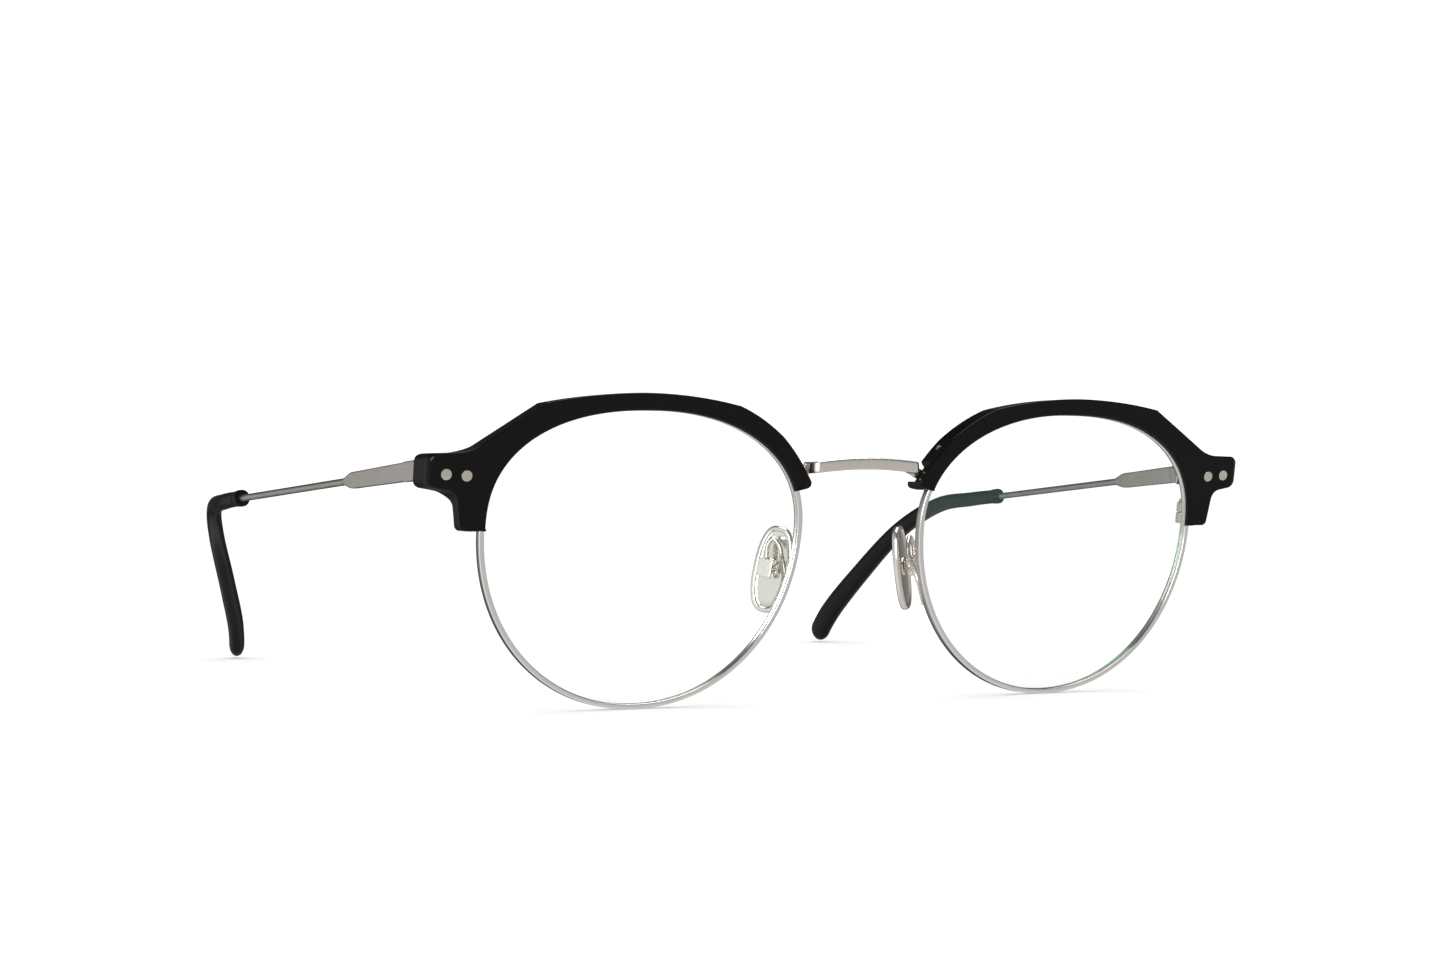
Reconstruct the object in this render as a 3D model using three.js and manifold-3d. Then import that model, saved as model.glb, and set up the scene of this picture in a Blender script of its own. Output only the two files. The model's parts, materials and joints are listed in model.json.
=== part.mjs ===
// Half rim eyeglasses: black acetate brows over silver metal rims, with folding temples.
// Millimetres, +Z up. They stand open on the rims and the temple tips, and the wearer looks along -Y.
// Every piece is shaped for the wearer's left side, +X, and mirrored for the right.
import * as THREE from "three";
import { mergeVertices } from "three/addons/utils/BufferGeometryUtils.js";
import Module from "manifold-3d";

const wasm = await Module();
wasm.setup();

const degrees = Math.PI / 180;

// The front face: a plane that leans forward at the top and wraps back a little to the sides. The pieces
// behind it run straight back from it, along +Y.
const lean = 9.95 * degrees;
const faceY = -1.47;
const faceWrap = 0.000513;

// The lens opening: four quarter superellipses about one centre, in the plane of the front.
const lensX = 35.2;
const lensUp = -6.9;
const lensHalfWidth = 24.4;
const lensAbove = 17.36;
const lensBelow = 26.5;
const cornerPower = { outerTop: 2.35, noseTop: 2.15, bottom: 2 };

// The rim wire and the lens in its groove, as depths behind the front face.
const rimWidth = 0.8;
const rimFront = 1.2;
const rimBack = 2.8;
const rimMiddle = (rimFront + rimBack) / 2;
const grooveDepth = 0.4;
const lensThickness = 1.8;
const lensBulge = 1.5;

// The brow: a thin lip in front of the rim, and a deeper wall around it.
const lipDepth = 1.1;
const browDepth = 4.5;
const endDepth = 6.7;
const wallOffset = rimWidth + 0.12;
const rivetRadius = 0.82;
const rivetPlaces = { inner: [62.82, 0.81], outer: [65.82, 1.0] };

// The bridge strip.
const bridgeHalf = 8.6;
const bridgeTop = 2.9;
const bridgeHeight = 1.75;
const bridgeThickness = 1.1;
const bridgeRise = 0.65;

// The hinge, with an upright screw.
const hingeX = 65;
const hingeY = 9.45;
const hingeMiddle = 1.8;
const knuckleRadius = 1.25;
const knuckleGap = 0.12;
const screwRadius = 0.6;

// The temple: a flat blade that narrows to a wire, turned outwards and down a little.
const templeStart = new THREE.Vector3(67, 7.9, 1.75);
const templeSplay = 5.2 * degrees;
const templeDrop = 3.34 * degrees;
const bladeHeight = 2.8;
const bladeThickness = 1.2;
const bladeLength = 27;
const taperLength = 4;
const wireRadius = 0.58;
const wireLength = 79.1;
const wireInTip = 6;

// The nose pad, on a small box at the end of a wire arm.
const padCentre = new THREE.Vector3(11.17, 8.56, -13.4);
const padSplay = 43 * degrees;
const padTopInwards = 0.18;
const padTopForwards = 0.105;
const padHeight = 13.4;
const padWidth = 6.3;
const padThickness = 1.2;
const padAxisOut = 1.6;
const padAxisBack = 0.4;
const padAxisUp = 0.1;
const armRadius = 0.38;

const silver = { color: 0xb5ada3, roughness: 0.32, metalness: 1 };
const paleSilver = { color: 0xd2cabb, roughness: 0.25, metalness: 1 };
const blackAcetate = { color: 0x0c0c0d, roughness: 0.12, metalness: 0 };
const clearLens = { color: 0xf4f8f5, roughness: 0.02, metalness: 0, transparent: true, opacity: 0.2 };

// A closed geometry as a manifold-3d solid, and back.
function solidOf(geometry) {
  const bare = geometry.clone();
  bare.deleteAttribute("normal");
  bare.deleteAttribute("uv");
  const merged = mergeVertices(bare, 1e-4);
  return new wasm.Manifold(
    new wasm.Mesh({
      numProp: 3,
      vertProperties: merged.attributes.position.array,
      triVerts: new Uint32Array(merged.index.array),
    }),
  );
}

function geometryOf(solid) {
  const mesh = solid.getMesh();
  const geometry = new THREE.BufferGeometry();
  geometry.setAttribute("position", new THREE.BufferAttribute(mesh.vertProperties, 3));
  geometry.setIndex(new THREE.BufferAttribute(mesh.triVerts, 1));
  geometry.computeVertexNormals();
  return geometry;
}

function join(first, ...others) {
  return geometryOf(others.reduce((sum, other) => sum.add(solidOf(other)), solidOf(first)));
}

function cut(first, ...others) {
  return geometryOf(others.reduce((rest, other) => rest.subtract(solidOf(other)), solidOf(first)));
}

// Moves every vertex of a geometry by a function of its place.
function warp(geometry, move) {
  const places = geometry.attributes.position;
  const place = new THREE.Vector3();
  for (let i = 0; i < places.count; i += 1) {
    place.fromBufferAttribute(places, i);
    move(place);
    places.setXYZ(i, place.x, place.y, place.z);
  }
  geometry.computeVertexNormals();
  return geometry;
}

// From the flat front (across, depth behind the face, up in its plane) to where the front stands.
function placeOnFront(place) {
  const depth = place.y;
  const up = place.z;
  place.y = faceY + depth - up * Math.sin(lean) + faceWrap * place.x * place.x;
  place.z = up * Math.cos(lean);
}

function onFront(geometry) {
  return warp(geometry, placeOnFront);
}

function frontPoint(across, depth, up) {
  const place = new THREE.Vector3(across, depth, up);
  placeOnFront(place);
  return place;
}

// An outline of across and up, made solid between two depths.
function slab(shape, near, far, curveSegments = 6) {
  return new THREE.ExtrudeGeometry(shape, { depth: far - near, bevelEnabled: false, curveSegments })
    .rotateX(Math.PI / 2)
    .translate(0, far, 0);
}

function block(low, high) {
  const size = high.map((value, i) => value - low[i]);
  const middle = high.map((value, i) => (value + low[i]) / 2);
  return new THREE.BoxGeometry(...size).translate(...middle);
}

// A point on the opening's edge at an angle from +X, moved outwards by a distance.
function edgePoint(angle, outwards = 0) {
  const onEdge = (a) => {
    const right = Math.cos(a);
    const above = Math.sin(a);
    const power = above < 0 ? cornerPower.bottom : right > 0 ? cornerPower.outerTop : cornerPower.noseTop;
    const reach = above < 0 ? lensBelow : lensAbove;
    return new THREE.Vector2(
      lensX + lensHalfWidth * Math.sign(right) * Math.abs(right) ** (2 / power),
      lensUp + reach * Math.sign(above) * Math.abs(above) ** (2 / power),
    );
  };
  const along = onEdge(angle + 0.01).sub(onEdge(angle - 0.01)).normalize();
  return onEdge(angle).add(new THREE.Vector2(along.y, -along.x).multiplyScalar(outwards));
}

// The brow's outer outline from the nose to the leg, closed along the opening's edge.
function browShape(outwards) {
  const shape = new THREE.Shape();
  shape.moveTo(9.5, -1.0);
  shape.quadraticCurveTo(9.0, -0.6, 9.25, 0);
  shape.quadraticCurveTo(11.6, 4.0, 14.2, 6.6);
  shape.quadraticCurveTo(17.6, 9.6, 21.6, 11.27);
  shape.quadraticCurveTo(29, 13.05, 36.9, 13.07);
  shape.quadraticCurveTo(44.5, 12.95, 51.6, 11.49);
  shape.lineTo(60.6, 5.5);
  shape.quadraticCurveTo(62.2, 4.35, 64, 4.2);
  shape.lineTo(67.6, 4.0);
  shape.quadraticCurveTo(68.4, 3.9, 68.4, 3.2);
  shape.lineTo(68.4, -0.3);
  shape.quadraticCurveTo(68.3, -0.85, 67.6, -0.95);
  shape.lineTo(65.6, -1.35);
  shape.quadraticCurveTo(64.2, -1.6, 64.0, -3);
  shape.lineTo(63.5, -6.5);
  shape.quadraticCurveTo(63.3, -7.2, 62.6, -7.2);
  const steps = 30;
  for (let i = 0; i <= steps; i += 1) {
    const edge = edgePoint((-0.7 + (164.2 * i) / steps) * degrees, outwards);
    shape.lineTo(edge.x, edge.y);
  }
  return shape;
}

function brow() {
  const lip = slab(browShape(0), 0, lipDepth);
  const wall = slab(browShape(wallOffset), lipDepth - 0.1, browDepth);
  const bridgeNotch = block([7, lipDepth, 0.2], [13.6, 9, 2.95]);
  const lockPocket = block([57, lipDepth, -7.3], [61.6, 9, -2.6]);
  const rivetHoles = Object.values(rivetPlaces).map(([x, up]) =>
    new THREE.CylinderGeometry(rivetRadius + 0.06, rivetRadius + 0.06, 20, 16).translate(x, 0, up),
  );
  const screwHole = browScrewShape(0.06);
  const whole = join(lip, wall);
  const deepened = warp(whole, (place) => {
    if (place.y < browDepth - 0.1) return;
    place.y += (endDepth - browDepth) * THREE.MathUtils.smoothstep(place.x, 52, 62);
  });
  return onFront(cut(deepened, bridgeNotch, lockPocket, screwHole, ...rivetHoles));
}

// The small screw through the brow's nose-side wall, head outwards.
function browScrewShape(extra) {
  return new THREE.CylinderGeometry(0.5 + extra, 0.5 + extra, 1.7 + extra, 12)
    .rotateZ(Math.PI / 2)
    .rotateY(35 * degrees)
    .translate(13.5, 2.3, 4.95);
}

function rivet([x, up]) {
  const back = endDepth - 0.15;
  return onFront(
    new THREE.CylinderGeometry(rivetRadius, rivetRadius, back + 0.12, 16).translate(x, back / 2 - 0.06, up),
  );
}

// A closed profile of (outwards, depth) carried round the opening.
function roundOpening(profile, segments) {
  const base = 10;
  const points = profile.map(([outwards, depth]) => new THREE.Vector2(base + outwards, depth));
  return warp(new THREE.LatheGeometry(points, segments), (place) => {
    const edge = edgePoint(Math.atan2(place.z, place.x), Math.hypot(place.x, place.z) - base);
    place.x = edge.x;
    place.z = edge.y;
  });
}

function rim() {
  const profile = [
    [0, rimFront],
    [rimWidth, rimFront],
    [rimWidth, rimBack],
    [0, rimBack],
    [0, rimMiddle + grooveDepth],
    [grooveDepth, rimMiddle],
    [0, rimMiddle - grooveDepth],
    [0, rimFront],
  ];
  return onFront(roundOpening(profile, 64));
}

// A dished lens: a profile from the middle to the bevelled edge and back, stretched to the opening.
function lens() {
  const edge = 0.35;
  const profile = [];
  const rings = 5;
  for (let i = 0; i < rings; i += 1) profile.push(new THREE.Vector2(i / rings, -lensThickness / 2));
  profile.push(new THREE.Vector2(1, -edge), new THREE.Vector2(1.012, 0), new THREE.Vector2(1, edge));
  for (let i = rings - 1; i >= 0; i -= 1) profile.push(new THREE.Vector2(i / rings, lensThickness / 2));
  const dish = warp(new THREE.LatheGeometry(profile, 48), (place) => {
    const share = Math.hypot(place.x, place.z);
    const edgeHere = edgePoint(Math.atan2(place.z, place.x), -0.1);
    place.x = lensX + share * (edgeHere.x - lensX);
    place.z = lensUp + share * (edgeHere.y - lensUp);
    place.y += rimMiddle - lensBulge * (1 - share * share);
  });
  return onFront(dish);
}

// The rim's closing block behind the outer side, split across and held by a screw.
const lockX = 60.35;
const lockDepth = 3.6;

function lockHalf(low, high) {
  const hole = new THREE.CylinderGeometry(0.46, 0.46, 20, 12).rotateX(Math.PI / 2);
  hole.translate(lockX, lockDepth, 0);
  return onFront(cut(block([59.55, rimBack + 0.05, low], [61.2, 4.35, high]), hole));
}

function lockScrew() {
  const shank = new THREE.CylinderGeometry(0.4, 0.4, 3.7, 12).rotateX(Math.PI / 2);
  const head = new THREE.CylinderGeometry(0.7, 0.7, 0.45, 16).rotateX(Math.PI / 2);
  shank.translate(lockX, lockDepth, -4.95);
  head.translate(lockX, lockDepth, -3.02);
  return onFront(join(shank, head));
}

// The bridge: a strip bent to a shallow U in plan and arched in front, with a foot on each rim.
function bridge() {
  const back = 1.7;
  const inner = bridgeHalf - bridgeThickness;
  const plan = new THREE.Shape();
  plan.moveTo(-bridgeHalf, back);
  plan.lineTo(-bridgeHalf, -1);
  plan.quadraticCurveTo(-bridgeHalf, -2.1, -bridgeHalf + 1.1, -2.1);
  plan.quadraticCurveTo(0, -2.5, bridgeHalf - 1.1, -2.1);
  plan.quadraticCurveTo(bridgeHalf, -2.1, bridgeHalf, -1);
  plan.lineTo(bridgeHalf, back);
  plan.lineTo(inner, back);
  plan.lineTo(inner, -0.95);
  plan.quadraticCurveTo(0, -1.35, -inner, -0.95);
  plan.lineTo(-inner, back);
  const strip = new THREE.ExtrudeGeometry(plan, { depth: bridgeHeight, bevelEnabled: false, curveSegments: 8 });
  strip.translate(0, 0, bridgeTop - bridgeHeight);
  warp(strip, (place) => {
    place.z += bridgeRise * (1 - (place.x / bridgeHalf) ** 2);
  });
  const foot = new THREE.Shape();
  foot.moveTo(inner, bridgeTop - bridgeHeight);
  foot.lineTo(8.7, 0.75);
  foot.lineTo(9.9, 0.35);
  foot.lineTo(11.6, 0.3);
  foot.lineTo(12.0, 1.1);
  foot.lineTo(10.6, 1.5);
  foot.lineTo(9.4, 2.2);
  foot.lineTo(bridgeHalf, bridgeTop - 0.1);
  foot.lineTo(inner, bridgeTop - 0.1);
  const leftFoot = slab(foot, 0.35, back - 0.05);
  const rightFoot = leftFoot.clone().rotateZ(Math.PI).translate(0, back + 0.3, 0);
  return join(strip, leftFoot, rightFoot);
}

// A knuckle of the hinge between two heights, bored for the screw.
function barrel(low, high) {
  return new THREE.CylinderGeometry(knuckleRadius, knuckleRadius, high - low, 20)
    .rotateX(Math.PI / 2)
    .translate(hingeX, hingeY, (low + high) / 2);
}

const screwBore = new THREE.CylinderGeometry(screwRadius + 0.05, screwRadius + 0.05, 12, 16)
  .rotateX(Math.PI / 2)
  .translate(hingeX, hingeY, hingeMiddle);

const knuckleHeight = 1.35;
const middleLow = hingeMiddle - knuckleHeight / 2;
const middleHigh = hingeMiddle + knuckleHeight / 2;

function frontHinge() {
  const plate = new THREE.Shape();
  plate.moveTo(61.6, -0.5);
  plate.lineTo(66.2, -0.6);
  plate.lineTo(66.2, 3.9);
  plate.lineTo(61.6, 3.9);
  const plateSolid = onFront(slab(plate, endDepth + 0.1, endDepth + 0.7));
  const pairs = [
    [middleLow - knuckleGap - knuckleHeight, middleLow - knuckleGap],
    [middleHigh + knuckleGap, middleHigh + knuckleGap + knuckleHeight],
  ];
  const solids = pairs.flatMap(([low, high]) => {
    const insidePlate = frontPoint(hingeX, endDepth + 0.25, low).y;
    return [barrel(low, high), block([hingeX - 0.95, insidePlate, low], [hingeX + 0.95, hingeY, high])];
  });
  return cut(join(plateSolid, ...solids), screwBore);
}

// The temple's leaf: the middle knuckle and a plate along the blade's inner face.
function templeHinge() {
  const leaf = block([-bladeThickness / 2 - 0.75, 2.9, -1.05], [-bladeThickness / 2 - 0.05, 9, 1.05]);
  const turned = leaf.applyMatrix4(templeMatrix());
  const link = block([hingeX + 0.2, hingeY - 0.55, middleLow], [hingeX + 1.4, hingeY + 2.6, middleHigh]);
  return cut(join(barrel(middleLow, middleHigh), link, turned), screwBore);
}

function hingeScrew() {
  const low = middleLow - knuckleGap - knuckleHeight;
  const high = middleHigh + knuckleGap + knuckleHeight;
  const shank = new THREE.CylinderGeometry(screwRadius, screwRadius, high - low, 16)
    .rotateX(Math.PI / 2)
    .translate(hingeX, hingeY, (low + high) / 2);
  const head = new THREE.CylinderGeometry(1.05, 1.05, 0.35, 20)
    .rotateX(Math.PI / 2)
    .translate(hingeX, hingeY, high + 0.2);
  return join(shank.translate(0, 0, 0.05), head);
}

function templeMatrix() {
  return new THREE.Matrix4()
    .makeRotationFromEuler(new THREE.Euler(-templeDrop, 0, -templeSplay, "ZXY"))
    .setPosition(templeStart);
}

// Blade, taper and wire, along +Y from the hinge end.
function temple() {
  const half = bladeHeight / 2;
  const side = new THREE.Shape();
  side.moveTo(0, -half);
  side.lineTo(bladeLength, -half);
  side.quadraticCurveTo(bladeLength + 1.5, -half, bladeLength + taperLength, -wireRadius * 0.9);
  side.lineTo(bladeLength + taperLength, wireRadius * 0.9);
  side.quadraticCurveTo(bladeLength + 1.5, half, bladeLength, half);
  side.lineTo(0, half);
  const blade = new THREE.ExtrudeGeometry(side, {
    depth: bladeThickness,
    bevelEnabled: false,
    curveSegments: 6,
  });
  blade.rotateX(Math.PI / 2).rotateZ(Math.PI / 2).translate(-bladeThickness / 2, 0, 0);
  const wireStart = bladeLength + 1;
  const wire = new THREE.CylinderGeometry(wireRadius, wireRadius, wireLength + wireInTip - wireStart, 14);
  wire.translate(0, (wireLength + wireInTip + wireStart) / 2, 0);
  return join(blade, wire).applyMatrix4(templeMatrix());
}

// The temple tip: a flattened round bar carried along the ear bend, swelling to a rounded end.
function templeTip() {
  const bend = new THREE.CatmullRomCurve3(
    [
      [74.1, 86.7, -2.82],
      [74.4, 98, -3.5],
      [73.5, 109.5, -4.75],
      [70.6, 120.5, -9.9],
      [66.2, 130.4, -19.4],
      [62.9, 137.6, -27.6],
      [61.7, 141.6, -33.4],
    ].map((point) => new THREE.Vector3(...point)),
  );
  const length = bend.getLength();
  const bar = warp(new THREE.CylinderGeometry(1, 1, 1, 14, 32), (place) => {
    const share = THREE.MathUtils.clamp(place.y + 0.5, 0, 1);
    const along = bend.getTangentAt(share);
    const sideways = new THREE.Vector3(1, 0, 0).addScaledVector(along, -along.x).normalize();
    const upwards = new THREE.Vector3().crossVectors(sideways, along);
    const collar = 0.25 * Math.max(0, 1 - (share * length) / 3);
    const toEnd = Math.min(1, ((1 - share) * length) / 2.2);
    const roundEnd = Math.max(0.12, Math.sqrt(1 - (1 - toEnd) ** 2));
    const halfThick = (1.25 + 0.15 * share + collar) * roundEnd;
    const halfTall = (1.2 + 0.95 * share ** 1.5 + collar) * roundEnd;
    const centre = bend.getPointAt(share);
    place.copy(centre.addScaledVector(sideways, place.x * halfThick).addScaledVector(upwards, place.z * halfTall));
  });
  const boreLength = wireInTip + 0.5;
  const bore = new THREE.CylinderGeometry(wireRadius + 0.06, wireRadius + 0.06, boreLength + 2, 14);
  bore.translate(0, wireLength + (boreLength - 2) / 2, 0).applyMatrix4(templeMatrix());
  return cut(bar, bore);
}

// Pad pieces are shaped about the pad's centre: +X away from the nose, +Y to the back, +Z along the pad.
function padMatrix() {
  const along = new THREE.Vector3(-padTopInwards, -padTopForwards, 1).normalize();
  const away = new THREE.Vector3(Math.cos(padSplay), -Math.sin(padSplay), 0);
  away.addScaledVector(along, -along.dot(away)).normalize();
  const back = new THREE.Vector3().crossVectors(along, away);
  return new THREE.Matrix4().makeBasis(away, back, along).setPosition(padCentre);
}

function padAxisCylinder(radius, length) {
  return new THREE.CylinderGeometry(radius, radius, length, 12).translate(padAxisOut, padAxisBack, padAxisUp);
}

function nosePad() {
  const half = padThickness / 2;
  const profile = [
    [0, -half],
    [0.7, -half],
    [0.93, -half * 0.6],
    [1, 0],
    [0.95, half * 0.7],
    [0.8, half],
    [0, half],
  ].map(([radius, height]) => new THREE.Vector2(radius, height));
  const plate = new THREE.LatheGeometry(profile, 28)
    .rotateZ(-Math.PI / 2)
    .scale(1, padWidth / 2, padHeight / 2);
  const lug = block([half - 0.3, padAxisBack - 0.35, -0.8], [2.05, padAxisBack + 0.35, 1]);
  return cut(join(plate, lug), padAxisCylinder(0.36, 6)).applyMatrix4(padMatrix());
}

function padBox() {
  const body = block([0.95, padAxisBack - 1.2, -1.3], [2.5, padAxisBack + 1.2, 1.5]);
  const slot = block([0.5, padAxisBack - 0.6, -3], [2.15, padAxisBack + 0.6, 4]);
  return cut(body, slot, padAxisCylinder(0.35, 6)).applyMatrix4(padMatrix());
}

function padScrew() {
  const shank = padAxisCylinder(0.3, 2.7);
  const head = padAxisCylinder(0.6, 0.4).translate(0, -1.45, 0);
  return join(shank, head).applyMatrix4(padMatrix());
}

function padArm() {
  const onRim = (angle, out) => {
    const edge = edgePoint(angle * degrees, out);
    return frontPoint(edge.x, rimBack + armRadius + 0.2, edge.y);
  };
  const boxTop = new THREE.Vector3(2.2, padAxisBack, 1.55).applyMatrix4(padMatrix());
  const path = new THREE.CatmullRomCurve3([
    onRim(207, rimWidth / 2),
    onRim(198, rimWidth / 2),
    new THREE.Vector3(11.35, 6.2, -10.4),
    new THREE.Vector3(11.75, 7.0, -8.0),
    boxTop.clone().add(new THREE.Vector3(-0.3, 0, 2)),
    boxTop,
  ]);
  const section = new THREE.Shape().absarc(0, 0, armRadius, 0, Math.PI * 2);
  return new THREE.ExtrudeGeometry(section, {
    steps: 36,
    curveSegments: 5,
    extrudePath: path,
    bevelEnabled: false,
  });
}

const sidePieces = {
  brow: [brow, blackAcetate],
  rim: [rim, silver],
  lens: [lens, clearLens],
  rim_lock_upper: [() => lockHalf(-4.95, -3.3), silver],
  rim_lock_lower: [() => lockHalf(-6.8, -5.05), silver],
  rim_lock_screw: [lockScrew, silver],
  inner_rivet: [() => rivet(rivetPlaces.inner), paleSilver],
  outer_rivet: [() => rivet(rivetPlaces.outer), paleSilver],
  brow_screw: [() => onFront(browScrewShape(0)), paleSilver],
  front_hinge: [frontHinge, silver],
  hinge_screw: [hingeScrew, paleSilver],
  temple_hinge: [templeHinge, silver],
  temple: [temple, silver],
  temple_tip: [templeTip, blackAcetate],
  pad_arm: [padArm, silver],
  pad_box: [padBox, silver],
  pad_screw: [padScrew, paleSilver],
  nose_pad: [nosePad, silver],
};

function piece(name, geometry, finish) {
  const mesh = new THREE.Mesh(geometry, new THREE.MeshStandardMaterial(finish));
  mesh.name = name;
  return mesh;
}

const glasses = new THREE.Group();
const leftSide = new THREE.Group();
const rightSide = new THREE.Group();
rightSide.scale.x = -1;
for (const [name, [shape, finish]] of Object.entries(sidePieces)) {
  const geometry = shape();
  leftSide.add(piece("left_" + name, geometry, finish));
  rightSide.add(piece("right_" + name, geometry, finish));
}
glasses.add(leftSide, rightSide, piece("bridge", bridge(), silver));

// The origin is under the middle of the open glasses, on the surface they stand on.
const extent = new THREE.Box3().setFromObject(glasses, true);
glasses.position.set(0, -(extent.min.y + extent.max.y) / 2, -extent.min.z);

export default glasses;
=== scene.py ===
import json
import math
import bmesh
import bpy
import numpy as np
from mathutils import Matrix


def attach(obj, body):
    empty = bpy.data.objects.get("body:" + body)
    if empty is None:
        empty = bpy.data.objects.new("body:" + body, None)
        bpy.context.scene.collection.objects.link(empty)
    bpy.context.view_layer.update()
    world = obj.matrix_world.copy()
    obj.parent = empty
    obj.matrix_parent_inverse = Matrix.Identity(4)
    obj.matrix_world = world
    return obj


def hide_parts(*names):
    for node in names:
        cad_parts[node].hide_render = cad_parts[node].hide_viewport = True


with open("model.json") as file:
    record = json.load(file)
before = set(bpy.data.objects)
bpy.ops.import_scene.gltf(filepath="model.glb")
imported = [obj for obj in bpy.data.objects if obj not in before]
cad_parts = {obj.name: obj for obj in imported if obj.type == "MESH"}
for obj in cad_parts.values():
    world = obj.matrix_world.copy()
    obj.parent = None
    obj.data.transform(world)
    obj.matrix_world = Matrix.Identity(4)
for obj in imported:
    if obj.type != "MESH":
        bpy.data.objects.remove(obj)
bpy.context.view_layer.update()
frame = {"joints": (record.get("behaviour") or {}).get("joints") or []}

# Shapes are worked out in millimetres from a datum on the eye line, on the wearer's left (+X), and
# mirrored for the right. The datum comes from the left hinge axis, so everything follows the frame.
mm = 0.001
hingeAxis = next(j["pos_m"] for j in frame["joints"] if j["name"] == "left_temple_fold")
hinge = {"across": hingeAxis[0] / mm, "back": 9.45, "height": 1.8,
         "knuckle": 1.25, "tall": 1.35, "gap": 0.12,
         "plate": (63.9, 7.1, 1.7), "plateHalf": (2.3, 0.3, 2.2), "linkHalf": 0.9, "inPlate": 7.0,
         "leafAlong": 5.9, "leafSide": 0.98, "leafHalf": (0.36, 3.05, 1.05), "armHalf": (0.6, 1.5, 0.66)}
datum = np.array([0, hingeAxis[1] / mm - hinge["back"], hingeAxis[2] / mm - hinge["height"]])


def smoothStep(value, low, high):
    # 3t^2 - 2t^3 of the share t of the way from low to high
    t = np.clip((value - low) / (high - low), 0, 1)
    return t * t * (3 - 2 * t)


def mixed(first, second, share):
    # first where the share is 0, second where it is 1
    return first + (second - first) * share


def unit(v):
    # a vector divided by its length
    return v / np.maximum(np.linalg.norm(v, axis=-1, keepdims=True), 1e-12)


def signedPower(value, power):
    # the power of the size of a number, with its sign kept
    return np.sign(value) * np.abs(value) ** power


# meshes from grids of points

def gridFaces(rows, columns, start):
    # each cell of the grid is one quad, and the columns wrap round
    index = np.arange(rows * columns).reshape(rows, columns) + start
    index = np.hstack([index, index[:, :1]])
    return np.stack([index[:-1, :-1], index[:-1, 1:], index[1:, 1:], index[1:, :-1]], -1).reshape(-1, 4)


def meshOf(name, grids, mirrored, sharpAngle):
    # the grids joined in one mesh and moved to the frame, with doubles merged and faces turned outwards
    points, faces, start = [], [], 0
    for grid in grids:
        rows, columns = grid.shape[:2]
        points.append(grid.reshape(-1, 3))
        faces.append(gridFaces(rows, columns, start))
        start += rows * columns
    place = (np.concatenate(points) + datum) * mm
    if mirrored:
        place[:, 0] *= -1
    mesh = bpy.data.meshes.new(name)
    mesh.from_pydata(place.tolist(), [], np.concatenate(faces).tolist())
    work = bmesh.new()
    work.from_mesh(mesh)
    bmesh.ops.remove_doubles(work, verts=work.verts, dist=3e-7)
    bmesh.ops.recalc_face_normals(work, faces=work.faces)
    work.to_mesh(mesh)
    work.free()
    mesh.polygons.foreach_set("use_smooth", np.ones(len(mesh.polygons), bool))
    mesh.set_sharp_from_angle(angle=math.radians(sharpAngle))
    return mesh


def addPiece(name, grids, material, body, nodes, mirrored=False, sharpAngle=45):
    # one finished piece that rides on a body in place of its plain nodes
    piece = bpy.data.objects.new(name, meshOf(name, grids, mirrored, sharpAngle))
    bpy.context.scene.collection.objects.link(piece)
    piece.data.materials.append(material)
    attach(piece, body)
    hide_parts(*nodes)
    return piece


def addPair(name, grids, material, body="front", sharpAngle=45):
    # the same piece on the wearer's left and, mirrored, on the right
    for side in ("left", "right"):
        home = body if body == "front" else side + "_" + body
        addPiece(side + "_" + name + "_fine", grids, material, home, [side + "_" + name],
                 side == "right", sharpAngle)


# curves and swept bars

def curveThrough(keys, count=1600):
    # a cubic through the keys, spaced by the root of the gaps, with each slope from its neighbours
    keys = np.array(keys, float)
    at = np.concatenate([[0], np.cumsum(np.sqrt(np.linalg.norm(np.diff(keys, axis=0), axis=1)))])
    slope = np.gradient(keys, at, axis=0)
    t = np.linspace(0, at[-1], count)
    i = np.clip(np.searchsorted(at, t, side="right") - 1, 0, len(at) - 2)
    gap = (at[i + 1] - at[i])[:, None]
    f = (t - at[i])[:, None] / gap
    return ((2 * f**3 - 3 * f**2 + 1) * keys[i] + (f**3 - 2 * f**2 + f) * gap * slope[i]
            + (3 * f**2 - 2 * f**3) * keys[i + 1] + (f**3 - f**2) * gap * slope[i + 1])


def curveLength(curve):
    # the sum of the steps
    return np.linalg.norm(np.diff(curve, axis=0), axis=1).sum()


def stations(length, corner, count):
    # distances along a bar, closer together where its ends are rounded
    turn = corner * (1 - np.cos(np.linspace(0, math.pi / 2, 7)))
    even = np.linspace(corner, length - corner, count)
    return np.concatenate([turn[:-1], even, length - turn[:-1][::-1]])


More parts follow.
